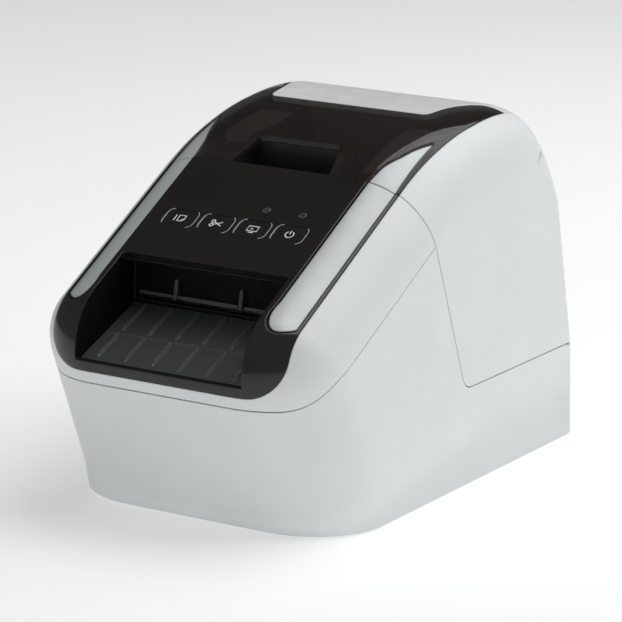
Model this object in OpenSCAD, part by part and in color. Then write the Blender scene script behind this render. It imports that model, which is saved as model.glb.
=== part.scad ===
// Desktop label printer. Front faces -Y, +Z is up, origin under the middle of the footprint.
// All lengths are millimetres, all angles are degrees.

/* [Housing] */
// Overall width
body_w = 125.3; // [124:0.1:130]
// Wall thickness of the outer shells
wall = 2.4; // [2.2:0.1:2.6]
// Gap between neighbouring shells
gap = 0.4; // [0.3:0.05:0.6]
// Forward lean of the front face from the vertical
front_lean = 24.2; // [23.8:0.1:24.6]
// Slope of the control panel from the horizontal
panel_slope = 28.5; // [28:0.1:29]

/* [Shoulders] */
// Radius that blends the panel and top into the sides
shoulder_r = 27.7; // [24:0.1:30]
// Radius of the lower front corners
corner_r = 31.5; // [28:0.1:33]

/* [Catcher] */
// Width of the label catcher recess
catcher_w = 72.4; // [70:0.1:73]
// Number of ribs on each catcher plate
rib_count = 6; // [4:2:8]

/* [Buttons] */
// Spacing of the four buttons
button_pitch = 16; // [15:0.1:17]
// Width of a button
button_w = 13.4; // [12:0.1:14]
// Length of a button up the slope
button_l = 9.6; // [8:0.1:10]

/* [Label roll] */
// Outside radius of the label roll
roll_r = 37; // [20:0.5:38]
// Width of the labels
label_w = 62; // [29:1:62]

/* [Gear train] */
// Face width of the three feed gears
gear_w = 5; // [3:0.5:5]
// Backlash at the pitch line
backlash = 0.25; // [0.15:0.05:0.4]

/* [Hidden] */

// Half width, and a reach past every face for the cutting tools
half_w = body_w / 2;
far = 160;
eps = 0.01;
// Lower rim of the shells over the floor, base plate and feet
rim_z = 0.8;
plate_z = 1.4;
plate_t = 2;
plate_top = plate_z + plate_t;
plate_front_y = -76.6;
plate_rear_y = 103.4;
plate_front_r = 36;
plate_rear_r = 2;
plate_play = 0.5;
foot_r = 6;
foot_spots = [[-44, -50], [44, -50], [-50, 92], [50, 92]];
screw_spots = [[-52, -30], [52, -30], [-52, 82], [52, 82]];
screw_r = 1.4;
screw_head_r = 2.9;
screw_play = 0.05;
boss_r = 3.4;
boss_top = 16;
vent_rows = 7;
vent_x = 17;
vent_y = 30;
vent_pitch = 8;
vent_w = 24;
vent_l = 3;
vent_r = 1.4;

// Side profile
front_foot_y = -80.1;
front_face_l = 59.46;
nose_r = 25;
slope_end_y = -21.4;
crown_r = 135.5;
crown_rear_r = 123;
crown_rear_turn = -8.6;
rear_shoulder_r = 20.4;
rear_shoulder_turn = -60;
rear_r = 120;
rear_turn = -76;
rear_seam_y = 103.9;
rear_foot_y = 106.5;
rear_corner_r = 4.6;
rear_shoulder_corner_r = 18;
least_bend_r = 1;
foot_reach = 10;
front_bow = 1.5;

// Seams, as seen from the side
seam_z = 53.3;
frame_seam_curve = [[-99.5, 53.3], [-96, 53.7], [-92.6, 54.9], [-89.4, 56.8], [-86.4, 59.2],
    [-83.2, 61.8], [-80, 64.2]];
frame_seam_rise = 0.5367;
side_seam_z = 39.2;
lid_seam_foot_y = 12.4;
lid_seam_lean = -0.4235;
lid_corner_r = 8;
rear_seam_gap = 0.9;
rear_notch_y = 97.4;

// Panel, trim and window outlines
panel_half_w = 50.5;
panel_slot = 0.5;
bezel_z = 58.6;
bezel_corner_r = 14;
front_trim_outline = [[38.9, 160], [38.9, 90], [38.4, 87.4], [39.6, 84.9], [41.6, 82.9], [44, 82],
    [50.3, 82.3], [50.3, 160]];
lid_trim_outline = [[38.9, -60], [39.1, -22], [40.3, -14], [42.8, -7.2], [45.2, 1], [47.7, 8.4],
    [48.5, 8.4], [50.3, -24], [50.3, -60]];
window_outline = [[50.3, -60], [50.3, 59.3], [48.6, 58.1], [43.8, 55.2], [40.9, 52.4], [38.7, 42.9],
    [36.3, 34], [35.8, 27.5], [33.5, 25.4]];
trim_slot = 0.3;
trim_step = 0.8;
trim_out_x = 50;
trim_foot_z = 81.6;
cover_low_z = 62;
recess_front_w = 21.5;
recess_rear_w = 18;
recess_rear_y = -7;
recess_depth = 11;
pocket_floor_z = 106;
pocket_t = 2;
frame_play = 0.05;
rail_wall = 1.6;
rail_in_x = 47.5;
rail_out_x = 54;
rail_low_z = 90;
rail_rear_y = 88;

// Catcher recess
catcher_half_w = catcher_w / 2;
lip_z = 62;
tray_foot = [-104.6, 61.2];
tray_head = [-67.2, 76.2];
tray_front_y = -102.4;
tray_split_y = -86.2;
tray_t = 2;
tray_gap = 0.35;
tray_joint = 0.5;
ledge_w = 2;
ledge_front_y = -101.5;
ledge_t = 1.6;
side_wall_t = 2;
flange_half_w = 38.2;
flange_low_z = 106;
flange_wall = 2;
back_wall_y = -67;
back_wall_t = 2;
recess_top_y = -74.3;
rib_w = 1;
rib_h = 0.9;
rib_start_h = 0.36;
rib_inset = 1.6;
slot_half_w = 33;
slot_low_z = 77.4;
slot_top_z = 79.7;

// Controls
button_y = -54.8;
button_x = [-1.5, -0.5, 0.5, 1.5];
button_travel = 0.8;
button_gap = 0.3;
button_corner_r = 3.4;
button_skirt = 0.8;
skirt_gap = 0.2;
button_stem_r = 1.5;
button_stem_z = -6.3;
board_face = -8.4;
board_t = 1.6;
led_y = -45.2;
led_r = 1.3;
led_play = 0.06;
led_x = [8.2, 23.9];

// Roll and its bay
roll_y = 46;
roll_z = 70;
core_r = 12;
core_bore = 10.4;
bay_r = 41;
bay_half_w = 39;
bay_wall = 2.4;
bay_top_z = 86;
bay_leg_y = [[18, 28], [64, 74]];
journal_r = 5;
journal_play = 0.06;
flange_r = 38.6;
flange_t = 2.2;
hub_r = 8;
plug_l = 9;

// Printing unit
platen_y = -50;
platen_z = 73;
platen_r = 6;
platen_half_w = 33;
shaft_r = 3;
shaft_play = 0.05;
press_play = 0.02;
chassis_x = 40;
chassis_t = 2;
chassis_front_y = -63;
chassis_rear_y = -14;
chassis_top_z = 90;
gear_module = 0.8;
pressure_angle = 20;
gear_x = 42.6;
platen_teeth = 20;
idler_teeth = 24;
pinion_teeth = 12;
mesh_play = 0.12;
idler_angle = -60;
pinion_angle = -20;
stud_r = 1.5;
motor_r = 14;
motor_l = 22;
head_z = 79.35;
blade_front_y = -61.5;
blade_t = 1.4;
blade_rest_z = 80.4;
rail_t = 1;
blade_play = 0.08;

// Lid hinge
hinge_y = 103.4;
hinge_z = 39.2;
knuckle_r = 2.6;
knuckle_play = 0.35;
pin_r = 1.2;
pin_play = 0.05;
hinge_x = 32;
knuckle_half = 3.8;
ear_w = 4;

// Rear sockets
inlet_x = 49;
inlet_z = 15;
inlet_w = 17;
inlet_h = 11;
usb_x = -20;
usb_z = 15.4;
usb_w = 12;
usb_h = 10.8;
socket_l = 16;
socket_gap = 0.3;
board_z = 8;

// ---- Side profile, as points with their headings ----
function heading(a) = [cos(a), sin(a)];
function outward(a) = [-sin(a), cos(a)];
function arc_points(p, r, a, b, n) =
    let (centre = p - r * outward(a))
    [for (i = [1:n]) let (t = a + (b - a) * i / n) [centre + r * outward(t), t]];
function end_of(list) = list[len(list) - 1][0];
// A tight bend, each point also holding [centre, radius, first heading, last heading]
function bend_points(p, r, a, b, n, first) =
    let (centre = p - r * outward(a))
    [for (i = [first:n]) let (t = a + (b - a) * i / n) [centre + r * outward(t), t, [centre, r, a, b]]];
face_heading = 90 + front_lean;
front_foot = [[[front_foot_y, 0], face_heading]];
face_top = [front_foot_y, 0] + front_face_l * heading(face_heading);
nose = bend_points(face_top, nose_r, face_heading, panel_slope, 8, 0);
slope_start = end_of(nose);
slope_l = (slope_end_y - slope_start[0]) / cos(panel_slope);
slope_line = [[slope_start + slope_l * heading(panel_slope), panel_slope]];
crown = arc_points(end_of(slope_line), crown_r, panel_slope, 0, 7);
crown_rear = arc_points(end_of(crown), crown_rear_r, 0, crown_rear_turn, 2);
rear_shoulder = bend_points(end_of(crown_rear), rear_shoulder_r, crown_rear_turn,
    rear_shoulder_turn, 5, 1);
rear_line = arc_points(end_of(rear_shoulder), rear_r, rear_shoulder_turn, rear_turn, 2);
rear_foot = [[[rear_seam_y, side_seam_z], rear_turn], [[rear_foot_y, 0], -86]];
profile = concat(front_foot, nose, slope_line, crown, crown_rear, rear_shoulder, rear_line, rear_foot);

// Blend radius into the side wall, by the heading of the profile
function blend_r(h) = lookup(h, [[rear_turn, rear_corner_r], [rear_shoulder_turn, rear_shoulder_corner_r],
    [-20, shoulder_r], [40, shoulder_r], [100, corner_r]]);
function blend_drop(r, d) = d < r ? r - sqrt(r * r - (r - d) * (r - d)) : 0;
function bow(y, x) = front_bow * min(1, max(0, -(y + 40) / 60)) * pow(x / half_w, 2);
function inset(h, d, t) = t + blend_drop(blend_r(h) - t, d - t);
// A bend moved inwards by different amounts at its two ends
function bend_inset(bend, h, d, t) =
    let (in_a = inset(bend[2], d, t), in_b = inset(bend[3], d, t))
    let (r = max(least_bend_r, bend[1] - (in_a + in_b) / 2))
    let (a = outward(bend[2]), b = outward(bend[3]), c = a * b)
    let (da = in_a + r - bend[1], db = in_b + r - bend[1])
    bend[0] - ((da - c * db) * a + (db - c * da) * b) / (1 - c * c) + r * outward(h);
// Outline of the slice at distance d inside the side wall, moved inwards by t
function slice(d, t) = [for (i = [0:len(profile) - 1])
    let (p = profile[i][0], h = profile[i][1], bend = profile[i][2])
    let (foot = i == 0 || i == len(profile) - 1)
    let (q = is_undef(bend) ? p - outward(h) * inset(h, d, t) : bend_inset(bend, h, d, t))
    let (z = foot ? (t > 0 ? -foot_reach : 0) : q[1])
    [q[0] + (foot && t > 0 ? (z - q[1]) / tan(h) : 0) + bow(p[0], half_w - d), z]];
slice_steps = [0, 0.8, 2.4, 5, 9, 14.5, 21.5, 31.5];
coarse_steps = [0, 3, 11, 31.5];

// ---- Shared shapes ----
// A side outline extruded along X, w wide about x
module across(points, w = 2 * far, x = 0)
    translate([x, 0, 0]) rotate([90, 0, 90]) linear_extrude(w, center = true) polygon(points);
// Closed outer form moved inwards by t: slices from side to side, joined by triangles
module envelope(t = 0, steps = slice_steps) {
    n = len(steps);
    m = len(profile);
    rings = [for (i = [0:2 * n - 1]) let (d = steps[i < n ? i : 2 * n - 1 - i], x = half_w - t - d)
        [for (p = slice(d + t, t)) [i < n ? -x : x, p[0], p[1]]]];
    polyhedron([for (ring = rings) each ring], concat(
        [[for (j = [m - 1:-1:0]) j]],
        [for (i = [0:2 * n - 2], j = [0:m - 1], upper = [0, 1])
            let (a = i * m + j, b = i * m + (j + 1) % m)
            upper ? [a, b, b + m] : [a, b + m, a + m]],
        [[for (j = [0:m - 1]) (2 * n - 1) * m + j]]));
}
module skin(inner = wall) difference() {
    envelope(0);
    envelope(inner);
}
module sunk_skin() difference() {
    envelope(trim_step);
    envelope(wall);
}
module from_front(points) rotate([90, 0, 0]) linear_extrude(far) polygon(points);
module from_top(points) linear_extrude(far) polygon(points);
// The right half of an outline joined to its mirror image
function both(points) = concat(points, [for (i = [len(points) - 1:-1:0])
    [-points[i][0], points[i][1]]]);
module box(lo, hi) translate(lo) cube(hi - lo);
module sides() for (s = [-1, 1]) scale([s, 1, 1]) children();
module rounded(w, l, r) {
    square([w - 2 * r, l], center = true);
    square([w, l - 2 * r], center = true);
    for (x = [-1, 1], y = [-1, 1]) translate([x * (w / 2 - r), y * (l / 2 - r)]) circle(r, $fn = 48);
}
// A rod along X, and a peg standing up
module rod(r, x0, x1, y, z) translate([x0, y, z]) rotate([0, 90, 0])
    cylinder(r = r, h = x1 - x0, $fn = 64);
module peg(r, x, y, z0, z1) translate([x, y, z0])
    cylinder(r = r, h = z1 - z0, $fn = 48);
// Height of the control slope, and a frame lying on it with +Z outwards
function slope_z(y) = slope_line[0][0][1] + (y - slope_end_y) * tan(panel_slope);
module on_slope(x, y) translate([x, y, slope_z(y)]) rotate([panel_slope, 0, 0]) children();

// ---- Seams ----
seam_heading = atan(1 / lid_seam_lean);
function lid_seam_y(z, s) =
    lid_seam_foot_y + lid_seam_lean * (z - side_seam_z) + s * sqrt(1 + pow(lid_seam_lean, 2));
function frame_seam(lift) = concat([[-far, seam_z + lift]], [for (p = frame_seam_curve) p + [0, lift]]);
// Where the frame seam, lifted, meets the lid seam, shifted towards the lid by s
function meet(lift, s) =
    let (p = frame_seam_curve[len(frame_seam_curve) - 1])
    let (rise = p[1] + lift + (lid_seam_y(0, s) - p[0]) * frame_seam_rise)
    let (z = rise / (1 - lid_seam_lean * frame_seam_rise))
    [lid_seam_y(z, s), z];
function lid_corner(s) = [for (i = [0:4]) let (h = seam_heading * (1 - i / 4))
    [lid_seam_foot_y - lid_corner_r * tan(seam_heading / 2) + (lid_corner_r - s) * sin(h),
     side_seam_z + lid_corner_r - (lid_corner_r - s) * cos(h)]];
module lower_region() across(concat([[-far, rim_z]], frame_seam(-gap / 2), [meet(-gap / 2, -gap / 2)],
    lid_corner(-gap / 2), [[rear_notch_y, side_seam_z - gap / 2],
    [rear_notch_y, side_seam_z - rear_seam_gap], [far, side_seam_z - rear_seam_gap], [far, rim_z]]));
module front_region() across(concat(frame_seam(gap / 2),
    [meet(gap / 2, -gap / 2), [lid_seam_y(far, -gap / 2), far], [-far, far]]));
module lid_region(s = gap / 2) across(concat([[lid_seam_y(far, s), far]], lid_corner(s),
    [[far, side_seam_z + s], [far, far]]));

// ---- Base ----
module screw_bosses() for (p = screw_spots, side = [sign(p[0])]) {
    peg(boss_r, p[0], p[1], plate_top, boss_top);
    box([min(p[0], side * (half_w - wall / 2)), p[1] - 1, plate_top],
        [max(p[0], side * (half_w - wall / 2)), p[1] + 1, boss_top]);
}
module lower_body() color("gainsboro") difference() {
    union() {
        intersection() {
            skin();
            lower_region();
        }
        screw_bosses();
        sides() for (x = [hinge_x - knuckle_half - ear_w, hinge_x + knuckle_half])
            rod(knuckle_r, x, x + ear_w, hinge_y, hinge_z);
    }
    for (p = screw_spots) peg(screw_r + screw_play, p[0], p[1], 0, boss_top + 1);
    sides() {
        rod(knuckle_r + knuckle_play, hinge_x - knuckle_half, hinge_x + knuckle_half, hinge_y, hinge_z);
        rod(pin_r + pin_play, 0, far, hinge_y, hinge_z);
    }
    box([inlet_x - inlet_w / 2 - socket_gap, 90, inlet_z - inlet_h / 2 - socket_gap],
        [inlet_x + inlet_w / 2 + socket_gap, far, inlet_z + inlet_h / 2 + socket_gap]);
    box([usb_x - usb_w / 2 - socket_gap, 90, usb_z - usb_h / 2 - socket_gap],
        [usb_x + usb_w / 2 + socket_gap, far, usb_z + usb_h / 2 + socket_gap]);
}
module plate_outline() {
    w = half_w - wall - plate_play;
    front = plate_front_y + plate_front_r;
    rear = plate_rear_y - plate_rear_r;
    translate([-w, front])
        square([2 * w, rear - front]);
    translate([-w + plate_front_r, plate_front_y])
        square([2 * (w - plate_front_r), 2 * plate_front_r]);
    translate([-w + plate_rear_r, rear - plate_rear_r])
        square([2 * (w - plate_rear_r), 2 * plate_rear_r]);
    for (s = [-1, 1]) {
        translate([s * (w - plate_front_r), front]) circle(plate_front_r, $fn = 96);
        translate([s * (w - plate_rear_r), rear]) circle(plate_rear_r, $fn = 32);
    }
}
module base_plate() color("silver") difference() {
    union() {
        translate([0, 0, plate_z]) linear_extrude(plate_t) plate_outline();
        for (p = board_posts) peg(3, p[0], p[1], plate_top - eps, board_z);
    }
    for (p = screw_spots) {
        peg(screw_r + 0.2, p[0], p[1], 0, 5);
        peg(screw_head_r + 0.3, p[0], p[1], 0, plate_z + 1.2);
    }
    for (i = [0:vent_rows - 1], s = [-1, 1]) translate([s * vent_x, vent_y + vent_pitch * i, 0])
        linear_extrude(10) rounded(vent_w, vent_l, vent_r);
}
module feet() color("dimgray") for (p = foot_spots) peg(foot_r, p[0], p[1], 0, plate_z);
module base_screws() color("silver") for (p = screw_spots) difference() {
    union() {
        peg(screw_head_r, p[0], p[1], plate_z + 0.1, plate_z + 1.2);
        peg(screw_r, p[0], p[1], plate_z + 1.2, boss_top - 2);
    }
    for (a = [0, 90]) translate([p[0], p[1], plate_z]) rotate(a) cube([3.2, 0.7, 1], center = true);
}

// ---- Front frame and black control panel ----
module panel_cut(grow) {
    w = panel_half_w + grow;
    r = bezel_corner_r + grow;
    rotate([90, 0, 0]) linear_extrude(far) {
        translate([-w, bezel_z - grow + r]) square([2 * w, far]);
        translate([-w + r, bezel_z - grow]) square([2 * (w - r), far]);
        for (s = [-1, 1]) translate([s * (w - r), bezel_z - grow + r]) circle(r, $fn = 64);
    }
}
module front_frame() color("whitesmoke") difference() {
    intersection() {
        skin();
        front_region();
    }
    panel_cut(panel_slot);
}
function tray_at(y) = tray_foot[1]
    + (y - tray_foot[0]) * (tray_head[1] - tray_foot[1]) / (tray_head[0] - tray_foot[0]);
// Underside of the tray, and of the ledge that carries it
function under_tray(y) = [y, tray_at(y) - tray_t];
function under_ledge(y) = [y, tray_at(y) - tray_t - ledge_t];
module recess_walls() sides() {
    across([under_ledge(ledge_front_y), under_tray(ledge_front_y), under_tray(back_wall_y),
        under_ledge(back_wall_y)], ledge_w + eps, catcher_half_w - ledge_w / 2);
    intersection() {
        envelope(wall / 2, coarse_steps);
        across([under_ledge(-104), [-far, far], [back_wall_y + back_wall_t, far],
            under_ledge(back_wall_y) + [back_wall_t, 0]], side_wall_t, catcher_half_w + side_wall_t / 2);
    }
}
module recess_back() intersection() {
    envelope(wall / 2, coarse_steps);
    box([-catcher_half_w - 1, back_wall_y, under_ledge(back_wall_y)[1]],
        [catcher_half_w + 1, back_wall_y + back_wall_t, far]);
}
module recess_roof() intersection() {
    envelope(wall / 2, coarse_steps);
    across([[recess_top_y + 0.3, 94], [recess_top_y + 0.3, far], [back_wall_y + 1, far],
        [back_wall_y + 1, 91]], catcher_w + 1);
}
module seam_flange() intersection() {
    envelope(wall / 2, coarse_steps);
    rear = -gap / 2 - 0.1;
    front = rear - flange_wall;
    across([[lid_seam_y(flange_low_z, front), flange_low_z], [lid_seam_y(far, front), far],
        [lid_seam_y(far, rear), far], [lid_seam_y(flange_low_z, rear), flange_low_z]],
        2 * flange_half_w);
}
module front_panel() color("#232120") difference() {
    union() {
        difference() {
            intersection() {
                skin();
                front_region();
                panel_cut(0);
            }
            box([-catcher_half_w, -far, lip_z], [catcher_half_w, recess_top_y, far]);
            sides() from_front([for (p = front_trim_outline)
                p - [p[0] < 42 ? trim_slot : 0, p[1] < 88 ? trim_slot : 0]]);
            sides() box([trim_out_x, -far, trim_foot_z], [far, 0, far]);
        }
        recess_walls();
        recess_back();
        recess_roof();
        seam_flange();
    }
    box([-slot_half_w, -80, slot_low_z], [slot_half_w, -60, slot_top_z]);
    for (i = button_x) on_slope(i * button_pitch, button_y) translate([0, 0, -wall - 1]) linear_extrude(9)
        rounded(button_w + 2 * button_gap, button_l + 2 * button_gap, button_corner_r + button_gap);
    for (x = led_x) on_slope(x, led_y) translate([0, 0, -wall - 1])
        cylinder(r = led_r + led_play, h = 9, $fn = 48);
}
module front_trim() intersection() {
    sunk_skin();
    front_region();
    from_front(front_trim_outline);
}
module front_trim_left() color("silver") scale([-1, 1, 1]) front_trim();
module front_trim_right() color("silver") front_trim();

// ---- Label catcher ----
// A plate of the tray from y = a to y = b, with its ribs
module tray_plate(a, b) {
    w = catcher_half_w - tray_gap;
    rib_a = a + rib_inset;
    rib_b = b - rib_inset;
    across([under_tray(a), [a, tray_at(a)], [b, tray_at(b)], under_tray(b)], 2 * w);
    for (i = [0:rib_count - 1])
        across([[rib_a, tray_at(rib_a) - 1], [rib_a, tray_at(rib_a) + rib_start_h],
            [rib_a + 2, tray_at(rib_a + 2) + rib_h], [rib_b, tray_at(rib_b) + rib_h],
            [rib_b, tray_at(rib_b) - 1]], rib_w, (i - (rib_count - 1) / 2) * 2 * w / rib_count);
}
module catcher_front_plate() color("#303232") tray_plate(tray_front_y, tray_split_y - tray_joint / 2);
module catcher_rear_plate() color("#303232") tray_plate(tray_split_y + tray_joint / 2, back_wall_y - 0.55);
module exit_guide() color("#3a3a3a") {
    box([-33, back_wall_y - 1.2, slot_top_z + 0.3], [-13, back_wall_y, slot_top_z + 1.3]);
    box([-12.5, back_wall_y - 1.8, slot_top_z + 0.3], [10.5, back_wall_y, slot_top_z + 1.6]);
    box([13, back_wall_y - 1.2, slot_top_z + 0.3], [33, back_wall_y, slot_top_z + 1.3]);
    for (x = [-16.6, 12.1]) across([[back_wall_y, slot_top_z + 0.3], [back_wall_y - 2.6, slot_top_z + 0.3],
        [back_wall_y - 1.4, 87], [back_wall_y, 87.6]], 1.2, x);
}

// ---- Controls ----
module button(i) on_slope(button_x[i] * button_pitch, button_y) {
    translate([0, 0, -wall - skirt_gap - eps]) linear_extrude(wall + skirt_gap)
        rounded(button_w, button_l, button_corner_r);
    translate([0, 0, -wall - skirt_gap - button_skirt]) linear_extrude(button_skirt)
        rounded(button_w + 1.6, button_l + 1.6, button_corner_r + 0.8);
    translate([0, 0, button_stem_z]) cylinder(r = button_stem_r, h = 4, $fn = 48);
}
module button_feed() color("#1d1b1a") button(0);
module button_cut() color("#1d1b1a") button(1);
module button_mode() color("#1d1b1a") button(2);
module button_power() color("#1d1b1a") button(3);
module led_lenses() color("#6a726a") for (x = led_x) on_slope(x, led_y) translate([0, 0, -wall - 2])
    cylinder(r = led_r, h = wall + 2.1, $fn = 48);
module panel_board() color("#2f5d3a") on_slope(0, -50) {
    translate([-32, -11, board_face - board_t]) cube([64, 22, board_t]);
    for (i = button_x) translate([i * button_pitch - 3, (button_y + 50) / cos(panel_slope) - 3, board_face])
        cube([6, 6, -button_travel - 0.1 + button_stem_z - board_face]);
    for (x = led_x) translate([x - 0.8, (led_y + 50) / cos(panel_slope) - 0.8, board_face])
        cube([1.6, 1.6, 1]);
    for (s = [-1, 1]) translate([s * 30, 8.6, board_face])
        cylinder(r = 1.8, h = -wall - board_face - 0.2, $fn = 48);
}

// ---- Lid ----
module lid_opening(w) box([-w, -far, cover_low_z], [w, far, far]);
module lid_shell() color("gainsboro") difference() {
    union() {
        difference() {
            intersection() {
                skin();
                lid_region();
            }
            lid_opening(panel_half_w + 0.2);
            sides() for (x = [hinge_x - knuckle_half - ear_w, hinge_x + knuckle_half])
                rod(knuckle_r + knuckle_play, x - 0.2, x + ear_w + 0.2, hinge_y, hinge_z);
        }
        sides()
            rod(knuckle_r, hinge_x - knuckle_half + 0.2, hinge_x + knuckle_half - 0.2, hinge_y, hinge_z);
    }
    sides() rod(pin_r + pin_play, 0, far, hinge_y, hinge_z);
}
module top_skin() intersection() {
    skin();
    lid_region();
    lid_opening(panel_half_w - 0.2);
}
module cover_zone(shift) from_top(both(concat([[0, far], [far, far], [far, 61.2], [52.6, 61.2]],
    [for (i = [2:len(window_outline) - 1]) window_outline[i] + [0, shift]], [[0, 25.4 + shift]])));
module lid_cover() color("#b8b6b2") difference() {
    intersection() {
        top_skin();
        cover_zone(trim_slot);
    }
    box([-far, 60, 0], [far, far, cover_low_z + 0.4]);
}
module finger_cut() from_top(both([[0, -60], [recess_front_w + 3.5, -60], [recess_front_w, -22.3],
    [recess_rear_w + 0.6, recess_rear_y - 2.4], [recess_rear_w - 0.6, recess_rear_y - 0.6],
    [recess_rear_w - 2.6, recess_rear_y], [0, recess_rear_y]]));
module lid_window() color("#3a302e", 0.5) difference() {
    intersection() {
        top_skin();
        from_top(both(window_outline));
    }
    sides() from_top([for (p = lid_trim_outline)
        p - [p[0] < 48 ? trim_slot : -trim_slot, p[1] > 8 ? -trim_slot : 0]]);
    finger_cut();
}
module lid_trim() intersection() {
    sunk_skin();
    lid_region();
    from_top(lid_trim_outline);
}
module lid_trim_left() color("silver") scale([-1, 1, 1]) lid_trim();
module lid_trim_right() color("silver") lid_trim();
module side_rails() intersection() {
    difference() {
        envelope(wall + frame_play);
        envelope(wall + rail_wall, coarse_steps);
    }
    lid_region(gap / 2 + 0.4);
    sides() box([rail_in_x, -far, rail_low_z], [rail_out_x, rail_rear_y, far]);
}
module front_bar() intersection() {
    difference() {
        envelope(wall + frame_play);
        envelope(recess_depth, coarse_steps);
    }
    difference() {
        lid_region(gap / 2 + 0.2);
        lid_region(gap / 2 + 0.2 + pocket_t);
    }
    sides() box([recess_front_w + 1, -far, 95], [rail_out_x, far, far]);
}
module finger_pocket() difference() {
    intersection() {
        envelope(wall + frame_play);
        lid_region(gap / 2 + 0.2);
        box([-recess_front_w - 2.2, -60, pocket_floor_z - pocket_t],
            [recess_front_w + 2.2, recess_rear_y + pocket_t, far]);
    }
    box([-recess_front_w, -60, pocket_floor_z], [recess_front_w, recess_rear_y, far]);
}
module lid_frame() color("#2a2726") {
    side_rails();
    front_bar();
    finger_pocket();
}
module hinge_pins() color("silver") sides()
    rod(pin_r, hinge_x - knuckle_half - ear_w + 0.3, hinge_x + knuckle_half + ear_w - 0.3,
        hinge_y, hinge_z);

// ---- Label roll and bay ----
module roll_bay() color("#d8d8d4") {
    difference() {
        rod(bay_r + bay_wall, -bay_half_w - 0.1, bay_half_w + 0.1, roll_y, roll_z);
        rod(bay_r, -far, far, roll_y, roll_z);
        box([-far, -far, roll_z], [far, far, far]);
    }
    sides() difference() {
        union() {
            intersection() {
                rod(bay_r + bay_wall, bay_half_w, bay_half_w + bay_wall, roll_y, roll_z);
                box([0, -far, 0], [far, far, bay_top_z]);
            }
            for (leg = bay_leg_y)
                box([bay_half_w, leg[0], plate_top], [bay_half_w + bay_wall, leg[1], roll_z]);
        }
        rod(journal_r + journal_play, 0, far, roll_y, roll_z);
        box([0, roll_y - journal_r - journal_play, roll_z], [far, roll_y + journal_r + journal_play, far]);
    }
}
module label_roll() color("white") difference() {
    rod(roll_r, -label_w / 2, label_w / 2, roll_y, roll_z);
    rod(core_r, -far, far, roll_y, roll_z);
}
module roll_core() color("tan") difference() {
    rod(core_r, -label_w / 2, label_w / 2, roll_y, roll_z);
    rod(core_bore, -far, far, roll_y, roll_z);
}
module spool() {
    x0 = label_w / 2;
    rod(core_bore - 0.1, x0 - plug_l, x0 + 1, roll_y, roll_z);
    rod(flange_r, x0 + 0.3, x0 + 0.3 + flange_t, roll_y, roll_z);
    rod(hub_r, x0 + 1, bay_half_w - 0.3, roll_y, roll_z);
    rod(journal_r, x0 + 1, bay_half_w + bay_wall + 0.6, roll_y, roll_z);
}
module spool_left() color("#4a4a4c") scale([-1, 1, 1]) spool();
module spool_right() color("#4a4a4c") spool();

// ---- Printing unit ----
function away(p, c, a) = p + c * heading(a);
function centre_distance(n1, n2) = gear_module * (n1 + n2) / 2 + mesh_play;
idler_at = away([platen_y, platen_z], centre_distance(platen_teeth, idler_teeth), idler_angle);
pinion_at = away(idler_at, centre_distance(idler_teeth, pinion_teeth), pinion_angle);
module print_chassis() color("#a8acb0") difference() {
    union() {
        sides() {
            box([chassis_x, chassis_front_y, plate_top],
                [chassis_x + chassis_t, chassis_rear_y, chassis_top_z]);
            box([chassis_x - 3, blade_front_y - blade_play - rail_t, 64],
                [chassis_x + eps, blade_front_y - blade_play, chassis_top_z]);
            box([chassis_x - 3, blade_back_y, 79],
                [chassis_x + eps, blade_back_y + rail_t, chassis_top_z]);
        }
        box([-chassis_x - 1, -44, 30], [chassis_x + 1, chassis_rear_y, 32]);
        rod(stud_r, chassis_x + 1, gear_x + gear_w + 0.6, idler_at[0], idler_at[1]);
    }
    sides() rod(shaft_r + shaft_play, 0, far, platen_y, platen_z);
    rod(2, 30, far, pinion_at[0], pinion_at[1]);
}
module platen_roller() color("#2b2b2b") difference() {
    rod(platen_r, -platen_half_w, platen_half_w, platen_y, platen_z);
    rod(shaft_r + press_play, -far, far, platen_y, platen_z);
}
module platen_shaft() color("silver")
    rod(shaft_r, -chassis_x - chassis_t - 1, gear_x + gear_w + 0.8, platen_y, platen_z);
// Involute tooth form: half angle of a tooth at radius r
function involute(a) = tan(a) - a * PI / 180;
function tooth_angle(n, r) =
    let (rp = gear_module * n / 2, rb = rp * cos(pressure_angle))
    let (half_tooth = (gear_module * PI / 2 - backlash) / (2 * rp))
    (half_tooth + involute(pressure_angle) - involute(acos(rb / max(r, rb)))) * 180 / PI;
module gear(n, bore, at, phase) {
    rp = gear_module * n / 2;
    radii = [rp - 1.2 * gear_module, rp * cos(pressure_angle), rp - 0.25, rp, rp + 0.4, rp + gear_module - 0.05];
    translate([gear_x, at[0], at[1]]) rotate([90, 0, 90]) linear_extrude(gear_w) difference() {
        polygon([for (k = [0:n - 1]) let (mid = phase + 360 * k / n) each concat(
            [for (r = radii) r * heading(mid - tooth_angle(n, r))],
            [for (j = [len(radii) - 1:-1:0]) radii[j] * heading(mid + tooth_angle(n, radii[j]))])]);
        circle(bore, $fn = 48);
    }
}
idler_phase = idler_angle + 180 + 180 / idler_teeth;
pinion_phase = pinion_angle + 180 + 180 / pinion_teeth
    - idler_teeth / pinion_teeth * (idler_phase - pinion_angle);
module platen_gear() color("#e8e4d8")
    gear(platen_teeth, shaft_r + press_play, [platen_y, platen_z], idler_angle);
module idler_gear() color("#e8e4d8") gear(idler_teeth, stud_r + shaft_play, idler_at, idler_phase);
module motor_pinion() color("goldenrod") {
    gear(pinion_teeth, 1, pinion_at, pinion_phase);
    rod(1, chassis_x - 6, gear_x + gear_w + 0.6, pinion_at[0], pinion_at[1]);
}
module feed_motor() color("#7d8185") difference() {
    rod(motor_r, chassis_x - motor_l, chassis_x, pinion_at[0], pinion_at[1]);
    rod(1.06, chassis_x - 8, chassis_x + 1, pinion_at[0], pinion_at[1]);
}
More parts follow.
